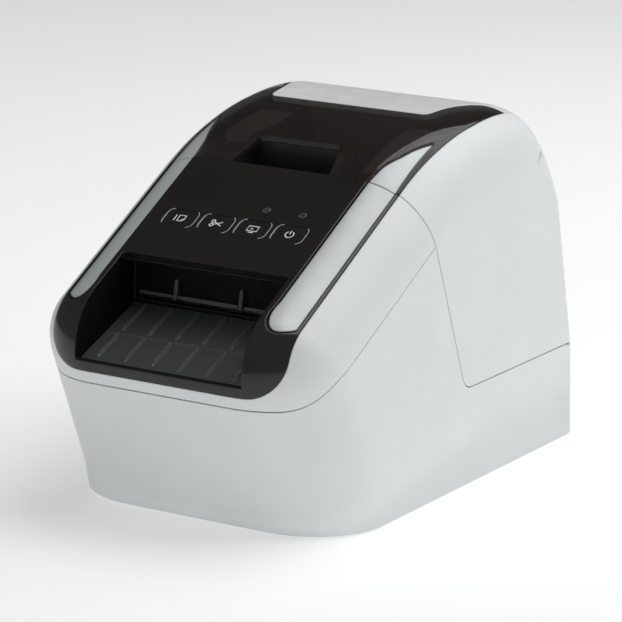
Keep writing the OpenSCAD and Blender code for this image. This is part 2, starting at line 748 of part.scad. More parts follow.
module print_head() color("#9a9da0") {
    box([-34, -56, head_z + 1], [34, -40, head_z + 4]);
    box([-32, -51, head_z], [32, -49, head_z + 1]);
    for (i = [0:6])
        box([-34, -55.5 + 2.4 * i, head_z + 4 - eps], [34, -54.5 + 2.4 * i, head_z + 9]);
    sides() box([34 - eps, -50, head_z + 1], [chassis_x, -44, head_z + 4]);
}
blade_back_y = blade_front_y + blade_t + blade_play;
module fixed_blade() color("#b9bdc0")
    box([-chassis_x, blade_back_y, 66], [chassis_x, blade_back_y + 1.2, 77.6]);
module cutter_blade() color("#cfd3d6") difference() {
    box([-chassis_x + 0.3, blade_front_y, blade_rest_z],
        [chassis_x - 0.3, blade_front_y + blade_t, chassis_top_z]);
    from_front([[-34, blade_rest_z - 1], [-34, blade_rest_z], [-33, blade_rest_z + 0.4],
        [33, blade_rest_z + 2.4], [34, blade_rest_z + 1], [34, blade_rest_z - 1]]);
}

// ---- Electronics ----
board_posts = [[-32, 26], [32, 26], [-32, 82], [32, 82], [46, 36], [56, 36], [46, 70], [56, 70]];
module main_board() color("#2f5d3a") {
    box([-36, 21, board_z], [36, 98, board_z + 1.6]);
    box([-14, 30, board_z + 1.6 - eps], [2, 46, board_z + 3.4]);
    box([10, 34, board_z + 1.6 - eps], [20, 44, board_z + 3]);
    box([-30, 52, board_z + 1.6 - eps], [-22, 64, board_z + 3]);
    box([8, 56, board_z + 1.6 - eps], [30, 62, board_z + 9]);
    for (x = [14, 24]) peg(4, x, 88, board_z + 1, board_z + 12);
}
module power_board() color("#7a5a2e") {
    box([43.6, 27, board_z], [58.6, 76.5, board_z + 1.6]);
    box([44.4, 50, board_z + 1.6 - eps], [57.6, 64, board_z + 20]);
    peg(6, 51, 40, board_z + 1, board_z + 26);
    box([45, 67, board_z + 1.6 - eps], [57, 72, board_z + 14]);
}
module socket_frame(x, z, w, h) difference() {
    box([x - w / 2, 104.2 - socket_l, z - h / 2], [x + w / 2, 104.2, z + h / 2]);
    children();
}
module ac_inlet() color("#1c1c1c") {
    socket_frame(inlet_x, inlet_z, inlet_w, inlet_h) for (s = [-1, 1]) {
        translate([inlet_x + s * 3.7, 120, inlet_z]) rotate([90, 0, 0]) cylinder(r = 4.1, h = 28, $fn = 64);
        box([inlet_x - 2, 92, inlet_z - 2.4], [inlet_x + 2, 120, inlet_z + 2.4]);
    }
    for (s = [-1, 1]) translate([inlet_x + s * 3.7, 102.5, inlet_z]) rotate([90, 0, 0])
        cylinder(r = 1.2, h = 12, $fn = 48);
}
module usb_socket() color("silver") {
    socket_frame(usb_x, usb_z, usb_w, usb_h)
        box([usb_x - usb_w / 2 + 1, 91, usb_z - usb_h / 2 + 1],
            [usb_x + usb_w / 2 - 1, 120, usb_z + usb_h / 2 - 1]);
    box([usb_x - 2.8, 90, usb_z - 1.6], [usb_x + 2.8, 103, usb_z + 1.6]);
}

lower_body();
base_plate();
feet();
base_screws();
front_frame();
front_panel();
front_trim_left();
front_trim_right();
catcher_front_plate();
catcher_rear_plate();
exit_guide();
button_feed();
button_cut();
button_mode();
button_power();
led_lenses();
panel_board();
lid_shell();
lid_cover();
lid_window();
lid_trim_left();
lid_trim_right();
lid_frame();
hinge_pins();
roll_bay();
label_roll();
roll_core();
spool_left();
spool_right();
print_chassis();
platen_roller();
platen_shaft();
platen_gear();
idler_gear();
motor_pinion();
feed_motor();
print_head();
fixed_blade();
cutter_blade();
main_board();
power_board();
ac_inlet();
usb_socket();
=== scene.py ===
"""Looks of the desktop label printer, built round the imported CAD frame."""
import math

import bmesh
import bpy
from mathutils import Matrix, Vector
from mathutils.bvhtree import BVHTree


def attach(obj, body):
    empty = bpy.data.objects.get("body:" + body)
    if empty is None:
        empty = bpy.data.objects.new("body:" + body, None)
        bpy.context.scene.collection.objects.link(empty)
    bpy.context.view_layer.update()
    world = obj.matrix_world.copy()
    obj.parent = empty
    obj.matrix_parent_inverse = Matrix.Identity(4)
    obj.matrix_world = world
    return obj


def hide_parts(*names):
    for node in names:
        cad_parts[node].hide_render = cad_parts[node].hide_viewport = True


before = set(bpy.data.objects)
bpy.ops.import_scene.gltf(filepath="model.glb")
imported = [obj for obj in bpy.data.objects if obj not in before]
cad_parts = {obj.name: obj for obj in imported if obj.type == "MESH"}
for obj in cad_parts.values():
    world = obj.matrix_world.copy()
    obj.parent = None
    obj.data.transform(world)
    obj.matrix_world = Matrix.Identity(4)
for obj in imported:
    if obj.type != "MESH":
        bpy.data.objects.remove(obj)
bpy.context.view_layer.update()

# ---------------------------------------------------------------- sizes, mm
HALF_W = 62.65
WALL = 2.4
FAR = 160.0
LEAN = 24.2
SLOPE = 28.5
NOSE_R = 25.0
SHOULDER_R = 27.7
CORNER_R = 31.5
SEAM_Z = 53.3
SIDE_Z = 39.2
SEAM_LEAN = -0.4235
SEAM_FOOT = 12.4
GAP = 0.4
PANEL_W = 50.5
LINE = 0.6
PANEL_EDGE = 0.35
TRIM_STEP = 0.8
TRAY_HALF = 36.2
TRAY_WALL = 2.0
TRAY_FLOOR_T = 1.6
TRAY_SINK = 3.6
TRAY_FOOT = (-104.6, 61.2)
TRAY_HEAD = (-67.2, 76.2)
PANEL_LOW = 58.6
PANEL_R = 14.0
LINING_DEPTH = 1.2
SPLIT_Z = 62.4
HINGE_Y = 103.4
HINGE_Z = 39.2
PIN_BORE_R = 1.25
KNUCKLE_R = 2.6
KNUCKLE_ROOM_R = 2.95
BUTTON_X = (-24, -8, 8, 24)
BUTTON_Y = -54.8
LED_X = (8.2, 23.9)
LED_Y = -45.2
MARK_TOP = -0.085
MARK_FOOT = -0.16
SCALE = 0.001

# ---------------------------------------------------------------- the profile's turns, mm and degrees
CROWN = (-21.4, 125.58)
FACE_FOOT_Y = -80.1
FACE_LENGTH = 59.46
CREST_R = 135.5
CREST_REAR_R = 123
CREST_END = -8.6
REAR_BEND_R = 20.4
REAR_TURN = -60
REAR_R = 120
REAR_END = -76
FOOT_TURN = -86
SEAM_Y = 103.9
REAR_FOOT_Y = 106.5
FRONT_BOW = 1.5
BLEND_RADII = (
    (REAR_END, 4.6), (REAR_TURN, 15), (CREST_END, 22), (4, SHOULDER_R - 1.2),
    (15, SHOULDER_R), (40, SHOULDER_R), (100, CORNER_R),
)
BLEND_STEP = 4.5
BLEND_SLICES = 21


# ---------------------------------------------------------------- the closed outer form
def heading(a):
    return Vector((math.cos(math.radians(a)), math.sin(math.radians(a))))


def outward(a):
    return Vector((-math.sin(math.radians(a)), math.cos(math.radians(a))))


def arc(p, r, a, b, n, bend=False, first=1):
    """Points on an arc from p, as the heading turns from a to b; a bend keeps its centre and ends."""
    centre = p - r * outward(a)
    info = (centre, r, a, b) if bend else None
    turns = [a + (b - a) * i / n for i in range(first, n + 1)]
    return [(centre + r * outward(t), t, info) for t in turns]


def line(a, b, h, n):
    return [(a.lerp(b, i / n), h, None) for i in range(1, n + 1)]


def make_profile():
    """The side outline from the front foot over the top to the rear foot: place, heading, bend."""
    foot = Vector((FACE_FOOT_Y, 0.0))
    face = 90 + LEAN
    top = foot + FACE_LENGTH * heading(face)
    out = [(foot, face, None)] + line(foot, top, face, 8)[:-1]
    out += arc(top, NOSE_R, face, SLOPE, 26, True, 0)
    start = out[-1][0]
    end = start + (CROWN[0] - start.x) / math.cos(math.radians(SLOPE)) * heading(SLOPE)
    out += line(start, end, SLOPE, 8)
    out += arc(end, CREST_R, SLOPE, 0, 22)
    out += arc(out[-1][0], CREST_REAR_R, 0, CREST_END, 6)
    out += arc(out[-1][0], REAR_BEND_R, CREST_END, REAR_TURN, 18, True)
    out += arc(out[-1][0], REAR_R, REAR_TURN, REAR_END, 6)
    out += line(out[-1][0], Vector((SEAM_Y, SIDE_Z)), REAR_END, 5)
    out += [(Vector((REAR_FOOT_Y, 0.0)), FOOT_TURN, None)]
    return out


PROFILE = make_profile()


def blend_r(h):
    """Radius of the side rounding where the outline has heading h."""
    if h <= BLEND_RADII[0][0]:
        return BLEND_RADII[0][1]
    for (h0, r0), (h1, r1) in zip(BLEND_RADII, BLEND_RADII[1:]):
        if h <= h1:
            return r0 + (r1 - r0) * (h - h0) / (h1 - h0)
    return BLEND_RADII[-1][1]


def inset(h, d, t):
    """How far in the outline sits at distance d inside the side wall, at depth t."""
    r = blend_r(h) - t
    return t + (r - math.sqrt(r * r - (r - d) ** 2) if d < r else 0.0)


def bend_inset(info, h, d, t):
    """A point of a bend that moves in by different amounts at its two ends."""
    centre, radius, ha, hb = info
    in_a, in_b = inset(ha, d, t), inset(hb, d, t)
    r = max(1.0, radius - (in_a + in_b) / 2)
    a, b = outward(ha), outward(hb)
    c = a.dot(b)
    da, db = in_a + r - radius, in_b + r - radius
    return centre - ((da - c * db) * a + (db - c * da) * b) / (1 - c * c) + r * outward(h)


def ring(d, t, side):
    """One slice of the form at distance d inside its side wall."""
    x = HALF_W - t - d
    points = []
    for i, (p, h, info) in enumerate(PROFILE):
        q = bend_inset(info, h, d, t) if info else p - inset(h, d, t) * outward(h)
        foot = i in (0, len(PROFILE) - 1)
        z = (-10.0 if t > 0 else 0.0) if foot else q.y
        slip = (z - q.y) / math.tan(math.radians(h)) if foot and t > 0 else 0.0
        bow = FRONT_BOW * min(1, max(0, -(p.x + 40) / 60)) * (x / HALF_W) ** 2
        points.append((side * x, q.x + slip + bow, z))
    return points


STEPS = [CORNER_R * (1 - math.cos(math.radians(BLEND_STEP * i))) for i in range(BLEND_SLICES)]


def envelope(t=0.0):
    """The whole outer form as a closed solid, t inside its surface."""
    rings = [ring(d, t, -1) for d in STEPS] + [ring(d, t, 1) for d in reversed(STEPS)]
    m = len(PROFILE)
    verts = [p for r in rings for p in r]
    faces = [list(range(m - 1, -1, -1))]
    for i in range(len(rings) - 1):
        for j in range(m):
            a, b = i * m + j, i * m + (j + 1) % m
            faces += [[a, b + m, b], [a, a + m, b + m]]
    faces.append([(len(rings) - 1) * m + j for j in range(m)])
    return raw("form", verts, faces)


# ---------------------------------------------------------------- mesh helpers
def raw(name, verts, faces):
    mesh = bpy.data.meshes.new(name)
    mesh.from_pydata([Vector(v) for v in verts], [], faces)
    bm = bmesh.new()
    bm.from_mesh(mesh)
    bmesh.ops.recalc_face_normals(bm, faces=bm.faces)
    bmesh.ops.triangulate(bm, faces=[f for f in bm.faces if len(f.verts) > 4])
    bm.to_mesh(mesh)
    bm.free()
    obj = bpy.data.objects.new(name, mesh)
    bpy.context.scene.collection.objects.link(obj)
    return obj


def prism(points, axis, lo, hi):
    """A polygon, given in the two other axes in order, extruded along an axis."""
    def at(p, w):
        return {"x": (w, p[0], p[1]), "y": (p[0], w, p[1]), "z": (p[0], p[1], w)}[axis]
    n = len(points)
    verts = [at(p, lo) for p in points] + [at(p, hi) for p in points]
    faces = [list(range(n)), list(range(2 * n - 1, n - 1, -1))]
    faces += [[i, (i + 1) % n, n + (i + 1) % n, n + i] for i in range(n)]
    return raw("tool", verts, faces)


def box(lo, hi):
    return prism([(lo[0], lo[1]), (hi[0], lo[1]), (hi[0], hi[1]), (lo[0], hi[1])], "z", lo[2], hi[2])


def circle(r, c=(0, 0), n=64):
    return [(c[0] + r * math.cos(2 * math.pi * i / n), c[1] + r * math.sin(2 * math.pi * i / n))
            for i in range(n)]


def rounded(w, l, r, n=10, c=(0, 0)):
    points = []
    for k, (sx, sy) in enumerate([(1, 1), (-1, 1), (-1, -1), (1, -1)]):
        for i in range(n + 1):
            a = math.radians(90 * k + 90 * i / n)
            points.append((c[0] + sx * (w / 2 - r) + r * math.cos(a),
                           c[1] + sy * (l / 2 - r) + r * math.sin(a)))
    return points


def csg(a, b, op):
    mod = a.modifiers.new("csg", "BOOLEAN")
    mod.operation = op
    mod.solver = "MANIFOLD"
    mod.object = b
    bpy.context.view_layer.update()
    done = bpy.data.meshes.new_from_object(a.evaluated_get(bpy.context.evaluated_depsgraph_get()))
    a.modifiers.clear()
    a.data = done
    bpy.data.objects.remove(b, do_unlink=True)
    return a


def minus(a, *tools):
    for tool in tools:
        csg(a, tool, "DIFFERENCE")
    return a


def plus(a, *tools):
    for tool in tools:
        csg(a, tool, "UNION")
    return a


def both(a, *tools):
    for tool in tools:
        csg(a, tool, "INTERSECT")
    return a


def span(s, a, b):
    """The two ends of a stretch across the width on side s, low one first."""
    return min(s * a, s * b), max(s * a, s * b)


def two(make):
    """make(+1) and make(-1)."""
    return [make(1), make(-1)]


def skin():
    return minus(envelope(0.0), envelope(WALL))


def slope_z(y):
    return CROWN[1] + (y - CROWN[0]) * math.tan(math.radians(SLOPE))


def slope_matrix(x, y):
    return Matrix.Translation((x, y, slope_z(y))) @ Matrix.Rotation(math.radians(SLOPE), 4, "X")


def on_slope(obj, x, y):
    obj.data.transform(slope_matrix(x, y))
    return obj


# ---------------------------------------------------------------- seams
CURVE = [
    (-99.5, SEAM_Z), (-96, 53.7), (-92.6, 54.9), (-89.4, 56.8), (-86.4, 59.2), (-83.2, 61.8), (-80, 64.2),
]
RISE = 0.5367
SPLINE_STEPS = 6
LID_CORNER_R = 8


def between(p0, p1, p2, p3, s):
    """A point at fraction s from p1 to p2, on a smooth curve through all four."""
    return tuple(0.5 * (2 * p1[j] + (p2[j] - p0[j]) * s
                        + (2 * p0[j] - 5 * p1[j] + 4 * p2[j] - p3[j]) * s * s
                        + (3 * p1[j] - p0[j] - 3 * p2[j] + p3[j]) * s ** 3) for j in (0, 1))


def smooth_curve():
    """The side seam's bend, as a finer line through the same points."""
    pts = [(-FAR, SEAM_Z), (-110, SEAM_Z)] + CURVE + [(CURVE[-1][0] + 10, CURVE[-1][1] + 10 * RISE)]
    out = [pts[0]]
    for i in range(1, len(pts) - 2):
        p0, p1, p2, p3 = pts[i - 1], pts[i], pts[i + 1], pts[i + 2]
        if i == 1:
            p0 = (2 * p1[0] - p2[0], p1[1])
        out += [between(p0, p1, p2, p3, k / SPLINE_STEPS) for k in range(SPLINE_STEPS)]
    return out + [CURVE[-1]]


SEAM_CURVE = smooth_curve()


def lid_seam_y(z, s):
    """Depth of the leaning seam between front and lid at height z, moved rearward by s."""
    return SEAM_FOOT + SEAM_LEAN * (z - SIDE_Z) + s * math.sqrt(1 + SEAM_LEAN ** 2)


def meet(lift, s):
    """Where the side seam, raised by lift, runs into the leaning seam, moved by s."""
    py, pz = CURVE[-1]
    z = (pz + lift + (lid_seam_y(0, s) - py) * RISE) / (1 - SEAM_LEAN * RISE)
    return (lid_seam_y(z, s), z)


def lid_corner(s):
    seam = math.degrees(math.atan(1 / SEAM_LEAN))
    cy = SEAM_FOOT - LID_CORNER_R * math.tan(math.radians(seam / 2))
    cz, r = SIDE_Z + LID_CORNER_R, LID_CORNER_R - s
    angles = [math.radians(seam * (1 - i / 12)) for i in range(13)]
    return [(cy + r * math.sin(h), cz - r * math.cos(h)) for h in angles]


REAR_STEP_Y = 97.4
REAR_STEP_H = 0.9
BASE_Z = 0.8


def lower_region():
    g = -GAP / 2
    step_z = SIDE_Z - REAR_STEP_H
    pts = [(-FAR, BASE_Z)] + [(y, z + g) for y, z in SEAM_CURVE] + [meet(g, g)] + lid_corner(g)
    pts += [(REAR_STEP_Y, SIDE_Z + g), (REAR_STEP_Y, step_z), (FAR, step_z), (FAR, BASE_Z)]
    return prism(pts, "x", -FAR, FAR)


def front_region():
    g = GAP / 2
    pts = [(y, z + g) for y, z in SEAM_CURVE] + [meet(g, -g), (lid_seam_y(FAR, -g), FAR), (-FAR, FAR)]
    return prism(pts, "x", -FAR, FAR)


def lid_region():
    g = GAP / 2
    pts = [(lid_seam_y(FAR, g), FAR)] + lid_corner(g) + [(FAR, SIDE_Z + g), (FAR, FAR)]
    return prism(pts, "x", -FAR, FAR)


def spline(points, per=SPLINE_STEPS):
    """A finer line through the points, keeping the two ends."""
    out = []
    for i in range(len(points) - 1):
        p0, p1, p2 = points[max(i - 1, 0)], points[i], points[i + 1]
        p3 = points[min(i + 2, len(points) - 1)]
        out += [between(p0, p1, p2, p3, k / per) for k in range(per)]
    return out + [points[-1]]


def flip(points):
    return [(-p[0], p[1]) for p in points]


# ---------------------------------------------------------------- finishing a piece
FORM = envelope(0.0)
form_bm = bmesh.new()
form_bm.from_mesh(FORM.data)
bmesh.ops.triangulate(form_bm, faces=form_bm.faces)
form_bm.normal_update()
FORM_TREE = BVHTree.FromBMesh(form_bm)
form_bm.faces.ensure_lookup_table()


def form_normal(p, fallback):
    """Smooth outward normal of the outer form near p, or None away from it."""
    spot, flat, index, dist = FORM_TREE.find_nearest(p)
    if dist > 0.05 or flat.dot(fallback) < 0.8:
        return None
    face = form_bm.faces[index]
    a, b, c = face.verts
    area = (b.co - a.co).cross(c.co - a.co).length or 1e-9
    wa = (b.co - spot).cross(c.co - spot).length / area
    wb = (c.co - spot).cross(a.co - spot).length / area
    wc = (a.co - spot).cross(b.co - spot).length / area
    n = wa * a.normal + wb * b.normal + wc * c.normal
    return n.normalized() if n.dot(fallback) > 0.6 else None


def finish_piece(obj, name, body, material, replaces=(), follow_form=True, angle=35, inner=None):
    """Normals, material, body and slot of a piece; inner is the material of its faces under the form."""
    mesh = obj.data
    mesh.name = name
    obj.name = name
    for poly in mesh.polygons:
        poly.use_smooth = True
    mesh.set_sharp_from_angle(angle=math.radians(angle))
    if follow_form:
        normals = [Vector((0, 0, 0))] * len(mesh.loops)
        for poly in mesh.polygons:
            flat = poly.normal
            for li in poly.loop_indices:
                n = form_normal(mesh.vertices[mesh.loops[li].vertex_index].co, flat)
                if n:
                    normals[li] = n
        mesh.normals_split_custom_set(normals)
    mesh.materials.clear()
    mesh.materials.append(material)
    if inner:
        mesh.materials.append(inner)
        for poly in mesh.polygons:
            poly.material_index = int(FORM_TREE.find_nearest(poly.center)[3] > 0.3)
    mesh.transform(Matrix.Scale(SCALE, 4))
    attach(obj, body)
    for node in replaces:
        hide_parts(node)
    return obj


# ---------------------------------------------------------------- materials
class Nodes:
    """Short names for building one node material."""

    def __init__(self, name):
        self.mat = bpy.data.materials.new(name)
        self.mat.use_nodes = True
        self.tree = self.mat.node_tree
        self.tree.nodes.clear()
        self.out = self.add("ShaderNodeOutputMaterial")
        self.coord = self.add("ShaderNodeTexCoord").outputs["Object"]

    def add(self, kind, **values):
        node = self.tree.nodes.new(kind)
        for key, value in values.items():
            setattr(node, key, value)
        return node

    def link(self, a, b):
        self.tree.links.new(a, b)

    def noise(self, scale, detail=3.0, rough=0.5, stretch=None):
        node = self.add("ShaderNodeTexNoise")
        node.inputs["Scale"].default_value = scale
        node.inputs["Detail"].default_value = detail
        node.inputs["Roughness"].default_value = rough
        if stretch:
            mapping = self.add("ShaderNodeMapping")
            mapping.inputs["Scale"].default_value = stretch
            self.link(self.coord, mapping.inputs["Vector"])
            self.link(mapping.outputs["Vector"], node.inputs["Vector"])
        else:
            self.link(self.coord, node.inputs["Vector"])
        return node.outputs["Fac"]

    def ramp(self, fac, low, high, a=0.35, b=0.65):
        node = self.add("ShaderNodeMapRange")
        node.inputs["From Min"].default_value = a
        node.inputs["From Max"].default_value = b
        node.inputs["To Min"].default_value = low
        node.inputs["To Max"].default_value = high
        self.link(fac, node.inputs["Value"])
        return node.outputs["Result"]

    def colours(self, fac, stops):
        node = self.add("ShaderNodeValToRGB")
        ramp = node.color_ramp
        while len(ramp.elements) < len(stops):
            ramp.elements.new(0.5)
        for element, (place, colour) in zip(ramp.elements, stops):
            element.position = place
            element.color = (*colour, 1)
        self.link(fac, node.inputs["Fac"])
        return node.outputs["Color"]

    def mix(self, fac, colour, other):
        node = self.add("ShaderNodeMix", data_type="RGBA")
        self.link(fac, node.inputs["Factor"])
        self.link(colour, node.inputs["A"])
        node.inputs["B"].default_value = (*other, 1)
        return next(out for out in node.outputs if out.type == "RGBA")

    def edges(self, radius):
        """1 on sharp edges, 0 elsewhere."""
        bevel = self.add("ShaderNodeBevel", samples=6)
        bevel.inputs["Radius"].default_value = radius
        dot = self.add("ShaderNodeVectorMath", operation="DOT_PRODUCT")
        self.link(bevel.outputs["Normal"], dot.inputs[0])
        self.link(self.add("ShaderNodeNewGeometry").outputs["Normal"], dot.inputs[1])
        return self.ramp(dot.outputs["Value"], 1.0, 0.0, 0.80, 0.97)

    def bump(self, height, strength, distance, edge=0.0):
        node = self.add("ShaderNodeBump")
        node.inputs["Strength"].default_value = strength
        node.inputs["Distance"].default_value = distance
        self.link(height, node.inputs["Height"])
        if edge:
            bevel = self.add("ShaderNodeBevel", samples=6)
            bevel.inputs["Radius"].default_value = edge
            self.link(bevel.outputs["Normal"], node.inputs["Normal"])
        return node.outputs["Normal"]

    def shader(self, colour, roughness, normal=None, **values):
        node = self.add("ShaderNodeBsdfPrincipled")
        for socket, value in (("Base Color", colour), ("Roughness", roughness), ("Normal", normal)):
            if value is None:
                continue
            if isinstance(value, bpy.types.NodeSocket):
                self.link(value, node.inputs[socket])
            else:
                node.inputs[socket].default_value = value
        for key, value in values.items():
            node.inputs[key.replace("_", " ")].default_value = value
        self.link(node.outputs["BSDF"], self.out.inputs["Surface"])
        return self.mat


def plastic(name, base, rough, grain=0.2, grain_size=1800.0, spread=0.06, edge=0.0004, edge_highlight=None, **values):
    """Moulded plastic: faint blotches of tone, a fine grain and edges that catch the light.

    The rim colour, when given, is a painted highlight: a lighter tone painted on the sharp edges.
    """
    n = Nodes(name)
    blotch = n.noise(38.0, 4.0)
    low = tuple(c * (1 - spread) for c in base)
    high = tuple(min(1, c * (1 + spread)) for c in base)
    colour = n.colours(blotch, [(0.3, low), (0.7, high)])
    # Painted highlight: the rim colour is mixed onto the sharp edges.
    if edge_highlight:
        colour = n.mix(n.edges(edge), colour, edge_highlight)
    roughness = n.ramp(n.noise(210.0, 5.0, 0.6), rough * 0.88, min(1, rough * 1.12))
    normal = n.bump(n.noise(grain_size, 3.0, 0.6), grain, 0.00006, edge)
    return n.shader(colour, roughness, normal, **values)


HOUSING = plastic("housing", (0.80, 0.835, 0.835), 0.42, 0.10, 1500.0, 0.02, 0.0006, IOR=1.46)
PANEL = plastic("panel_black", (0.013, 0.011, 0.010), 0.12, 0.015, 900.0, 0.2, 0.0008)
# Black of the panel's faces under its outer form, in the catcher recess and holes: black plastic made darker
# and less glossy than the panel, painted shade in the recess; its last colour is a painted highlight on the
# sharp edges.
RECESS_SHADE_BLACK = plastic("recess_shade_black", (0.003, 0.003, 0.003), 0.6, 0.1, 1800.0, 0.2, 0.0005,
                       (0.10, 0.10, 0.10), Specular_IOR_Level=0.12)
BUTTON = plastic("button_black", (0.012, 0.010, 0.0095), 0.2, 0.03, 1200.0, 0.2, 0.0004)
# The catcher's last colour is a painted highlight on the sharp edges of its ribs and walls.
CATCHER = plastic("catcher_grey", (0.046, 0.050, 0.050), 0.5, 0.55, 2600.0, 0.12, 0.00035,
                  (0.42, 0.43, 0.43))
# Brown of the patches under the window: painted light, standing for the lit inner walls seen through the
# smoked plastic.
PAINTED_LIGHT_BROWN = plastic("painted_light_brown", (0.24, 0.175, 0.15), 0.6, 0.1, 1500.0, 0.06)
INNER = plastic("inner_black", (0.012, 0.011, 0.010), 0.45, 0.2, 1800.0, 0.2, 0.0003)


def metallic_paint(name, dark, light, rough, coat):
    """Silver paint: fine flakes under a clear coat, with a slow drift of tone."""
    n = Nodes(name)
    drift = n.noise(14.0, 2.0)
    flake = n.noise(5200.0, 2.0, 0.8)
    mix = n.add("ShaderNodeMath", operation="MULTIPLY_ADD")
    mix.inputs[1].default_value = 0.35
    n.link(flake, mix.inputs[0])
    n.link(drift, mix.inputs[2])
    colour = n.colours(mix.outputs[0], [(0.45, dark), (0.9, light)])
    roughness = n.ramp(n.noise(160.0, 4.0), rough * 0.85, rough * 1.15)
    normal = n.bump(flake, 0.05, 0.00003, 0.0006)
    return n.shader(colour, roughness, normal, Metallic=0.1, Coat_Weight=coat, Coat_Roughness=0.15)


TRIM = metallic_paint("trim_silver", (0.50, 0.53, 0.53), (0.62, 0.65, 0.65), 0.34, 0.3)
COVER = metallic_paint("cover_silver", (0.85, 0.86, 0.85), (0.91, 0.92, 0.91), 0.4, 0.2)


def smoked():
    """Smoked clear plastic: brown tint, hair-fine surface ripple."""
    n = Nodes("window_smoke")
    colour = n.colours(n.noise(20.0, 3.0), [(0.3, (0.020, 0.015, 0.013)), (0.7, (0.026, 0.019, 0.016))])
    roughness = n.ramp(n.noise(120.0, 4.0), 0.02, 0.05)
    normal = n.bump(n.noise(60.0, 2.0), 0.02, 0.0001, 0.0005)
    return n.shader(colour, roughness, normal, IOR=1.55, Alpha=0.5)


WINDOW = smoked()
PRINT = plastic("print_white", (0.94, 0.95, 0.95), 0.5, 0.1, 2500.0, 0.03, 0.0)
# Lighter grey of the arcs round the button holes: a painted highlight on the holes' rims.
BUTTON_RIM_HIGHLIGHT = plastic("rim_highlight_grey", (0.55, 0.57, 0.57), 0.25, 0.05, 1500.0, 0.1, 0.0)


def brushed(name, base, rough, stretch=(1, 40, 40), metal=1.0):
    n = Nodes(name)
    streak = n.noise(90.0, 5.0, 0.6, stretch)
    colour = n.colours(streak, [(0.35, tuple(c * 0.86 for c in base)), (0.65, base)])
    roughness = n.ramp(streak, rough * 0.7, rough * 1.3)
    return n.shader(colour, roughness, n.bump(streak, 0.12, 0.00005, 0.0002), Metallic=metal)


def paper():
    n = Nodes("paper_white")
    edges = n.noise(900.0, 4.0, 0.6, (6, 1, 1))
    colour = n.colours(edges, [(0.3, (0.72, 0.71, 0.69)), (0.7, (0.86, 0.86, 0.85))])
    return n.shader(colour, 0.85, n.bump(edges, 0.15, 0.00005))


def circuit(name, dark, light):
    n = Nodes(name)
    vor = n.add("ShaderNodeTexVoronoi", distance="MANHATTAN")
    vor.inputs["Scale"].default_value = 260.0
    n.link(n.coord, vor.inputs["Vector"])
    colour = n.colours(vor.outputs["Distance"], [(0.25, dark), (0.45, light)])
    return n.shader(colour, n.ramp(n.noise(300.0), 0.3, 0.5), n.bump(vor.outputs["Distance"], 0.1, 0.0001))


def card():
    n = Nodes("core_card")
    fibre = n.noise(420.0, 6.0, 0.7, (1, 3, 3))
    colour = n.colours(fibre, [(0.3, (0.33, 0.23, 0.14)), (0.7, (0.50, 0.38, 0.25))])
    return n.shader(colour, 0.9, n.bump(fibre, 0.3, 0.0001))


STEEL = brushed("screw_steel", (0.62, 0.62, 0.63), 0.3)
SHEET = brushed("base_metal", (0.55, 0.56, 0.57), 0.42, (3, 30, 30), 0.8)
RUBBER = plastic("foot_rubber", (0.02, 0.02, 0.02), 0.75, 0.6, 1600.0, 0.2, 0.0004)
NODE_LOOKS = {
    "base_plate": SHEET, "print_chassis": SHEET, "base_screws": STEEL, "hinge_pins": STEEL,
    "platen_shaft": STEEL, "fixed_blade": STEEL, "cutter_blade": STEEL, "feet": RUBBER,
    "roll_bay": plastic("bay_grey", (0.07, 0.055, 0.05), 0.4, 0.2, 1500.0, 0.08),
    "label_roll": paper(), "roll_core": card(),
    "spool_left": plastic("spool_grey", (0.06, 0.06, 0.065), 0.35, 0.2),
    "platen_roller": plastic("platen_rubber", (0.018, 0.018, 0.018), 0.7, 0.5, 2200.0, 0.2),
    "platen_gear": plastic("gear_nylon", (0.62, 0.60, 0.54), 0.4, 0.2),
    "motor_pinion": brushed("pinion_brass", (0.62, 0.45, 0.17), 0.28),
    "feed_motor": brushed("motor_steel", (0.42, 0.43, 0.44), 0.35),
    "print_head": brushed("head_alu", (0.62, 0.62, 0.63), 0.35, (1, 30, 30)),
    "main_board": circuit("board_green", (0.015, 0.07, 0.025), (0.03, 0.13, 0.05)),
    "power_board": circuit("board_brown", (0.16, 0.09, 0.035), (0.26, 0.16, 0.06)),
    "ac_inlet": plastic("socket_black", (0.012, 0.012, 0.012), 0.4, 0.3),
    "usb_socket": brushed("socket_metal", (0.6, 0.6, 0.6), 0.3),
    "catcher_front_plate": CATCHER, "catcher_rear_plate": CATCHER, "exit_guide": CATCHER,
    "lid_frame": INNER,
    # The lens's last colour is a painted highlight on its sharp rim.
    "led_lenses": plastic("led_lens", (0.035, 0.042, 0.040), 0.12, 0.05, 900.0, 0.1, 0.0004,
                          (0.45, 0.47, 0.46)),
}
NODE_LOOKS["spool_right"] = NODE_LOOKS["spool_left"]
NODE_LOOKS["idler_gear"] = NODE_LOOKS["platen_gear"]
NODE_LOOKS["panel_board"] = NODE_LOOKS["main_board"]
for node_name, look in NODE_LOOKS.items():
    node_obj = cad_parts[node_name]
    for material_slot in node_obj.material_slots:
        material_slot.material = look


# ---------------------------------------------------------------- shells
def hinge_rod(r, s, a, b):
    """A rod on the hinge line, from a to b across the width on side s."""
    return prism(circle(r, (HINGE_Y, HINGE_Z)), "x", *span(s, a, b))


def pin_bores():
    return two(lambda s: hinge_rod(PIN_BORE_R, s, 22, 42))


